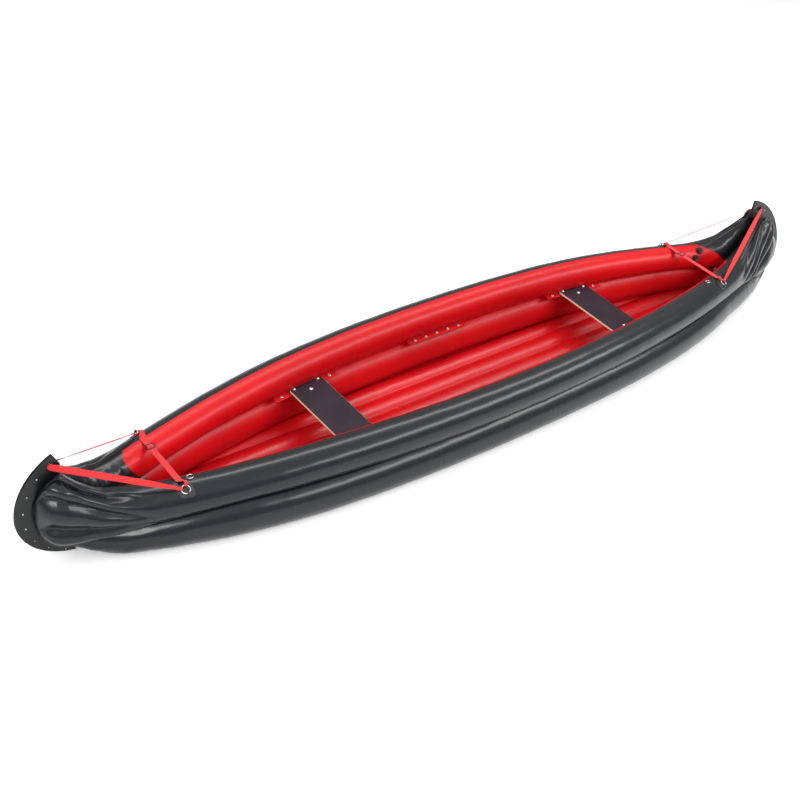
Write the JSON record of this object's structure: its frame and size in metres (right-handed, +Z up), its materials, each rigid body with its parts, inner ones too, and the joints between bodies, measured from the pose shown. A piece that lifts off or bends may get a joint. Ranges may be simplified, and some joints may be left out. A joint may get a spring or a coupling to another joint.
{
  "type": "inflatable canoe",
  "caption": "Open two-seat inflatable touring canoe with stacked side tubes, ribbed air floor, flat stem plates, webbing straps and plywood seat boards.",
  "frame": {"origin": "on the ground, under the middle of the overall length and beam", "axes": "+X towards the bow, +Y to port, +Z up"},
  "size_m": [4.5986, 0.8642, 0.5841],
  "materials": {
    "black_fabric": "coated fabric, smooth and glossy",
    "red_fabric": "coated fabric, smooth and glossy",
    "stem_plastic": "semi-matt sheet and moulded plastic",
    "red_webbing": "woven webbing",
    "steel": "bright stainless steel",
    "plywood": "dark film-faced plywood with pale bare edges",
    "valve_plastic": "moulded plastic"
  },
  "bodies": {
    "hull": {"bow_buckle": "stem_plastic", "bow_cheek_port": "stem_plastic", "bow_cheek_starboard": "stem_plastic", "bow_cross_strap": "red_webbing", "bow_diagonal_strap": "red_webbing", "bow_port_bolt_1": "steel", "bow_port_bolt_2": "steel", "bow_port_bolt_3": "steel", "bow_port_rail": "red_fabric", "bow_port_ring_patch": "black_fabric", "bow_port_strap_ring": "steel", "bow_seat_board": "plywood", "bow_starboard_bolt_1": "steel", "bow_starboard_bolt_2": "steel", "bow_starboard_bolt_3": "steel", "bow_starboard_rail": "red_fabric", "bow_starboard_ring_patch": "black_fabric", "bow_starboard_strap_ring": "steel", "bow_stem_core": "stem_plastic", "bow_tie_patch": "black_fabric", "floor_chamber": "red_fabric", "floor_valve_body": "valve_plastic", "middle_port_rail": "red_fabric", "middle_starboard_rail": "red_fabric", "port_chamber_valve_body": "valve_plastic", "port_lower_tube": "black_fabric", "port_relief_valve_body": "valve_plastic", "port_upper_tube": "black_fabric", "starboard_chamber_valve_body": "valve_plastic", "starboard_lower_tube": "black_fabric", "starboard_upper_tube": "black_fabric", "stern_buckle": "stem_plastic", "stern_cheek_port": "stem_plastic", "stern_cheek_starboard": "stem_plastic", "stern_cross_strap": "red_webbing", "stern_diagonal_strap": "red_webbing", "stern_port_bolt_1": "steel", "stern_port_bolt_2": "steel", "stern_port_bolt_3": "steel", "stern_port_rail": "red_fabric", "stern_port_ring_patch": "black_fabric", "stern_port_strap_ring": "steel", "stern_seat_board": "plywood", "stern_starboard_bolt_1": "steel", "stern_starboard_bolt_2": "steel", "stern_starboard_bolt_3": "steel", "stern_starboard_rail": "red_fabric", "stern_starboard_ring_patch": "black_fabric", "stern_starboard_strap_ring": "steel", "stern_stem_core": "stem_plastic", "stern_tie_patch": "black_fabric"},
    "bow_tie_ring": {"bow_tie_ring": "steel"},
    "stern_tie_ring": {"stern_tie_ring": "steel"},
    "port_chamber_valve_cap": {"port_chamber_valve_cap": "valve_plastic"},
    "port_relief_valve_cap": {"port_relief_valve_cap": "valve_plastic"},
    "starboard_chamber_valve_cap": {"starboard_chamber_valve_cap": "valve_plastic"},
    "floor_valve_cap": {"floor_valve_cap": "valve_plastic"}
  },
  "joints": [
    {"name": "bow_tie_ring_swing", "type": "hinge", "parent": "hull", "child": "bow_tie_ring", "pos_m": [1.3828, -0.18903, 0.31464], "axis": [0.2192, -0.9662, 0.1358], "range_deg": [0, 110]},
    {"name": "floor_valve_cap_turn", "type": "hinge", "parent": "hull", "child": "floor_valve_cap", "pos_m": [1.44, 0, 0.0521], "axis": [0, 0, 1], "range_deg": [0, 90]},
    {"name": "port_chamber_valve_cap_turn", "type": "hinge", "parent": "hull", "child": "port_chamber_valve_cap", "pos_m": [1.65, 0.08478, 0.28839], "axis": [-0.12, -0.6067, 0.7858], "range_deg": [0, 90]},
    {"name": "port_relief_valve_cap_turn", "type": "hinge", "parent": "hull", "child": "port_relief_valve_cap", "pos_m": [1.611, 0.07046, 0.25571], "axis": [-0.2133, -0.8678, 0.4488], "range_deg": [0, 90]},
    {"name": "starboard_chamber_valve_cap_turn", "type": "hinge", "parent": "hull", "child": "starboard_chamber_valve_cap", "pos_m": [1.65, -0.05307, 0.23518], "axis": [-0.2463, 0.9397, 0.2373], "range_deg": [0, 90]},
    {"name": "stern_tie_ring_swing", "type": "hinge", "parent": "hull", "child": "stern_tie_ring", "pos_m": [-1.6598, -0.1511, 0.3081], "axis": [0.2523, 0.9582, -0.1347], "range_deg": [0, 110]}
  ]
}
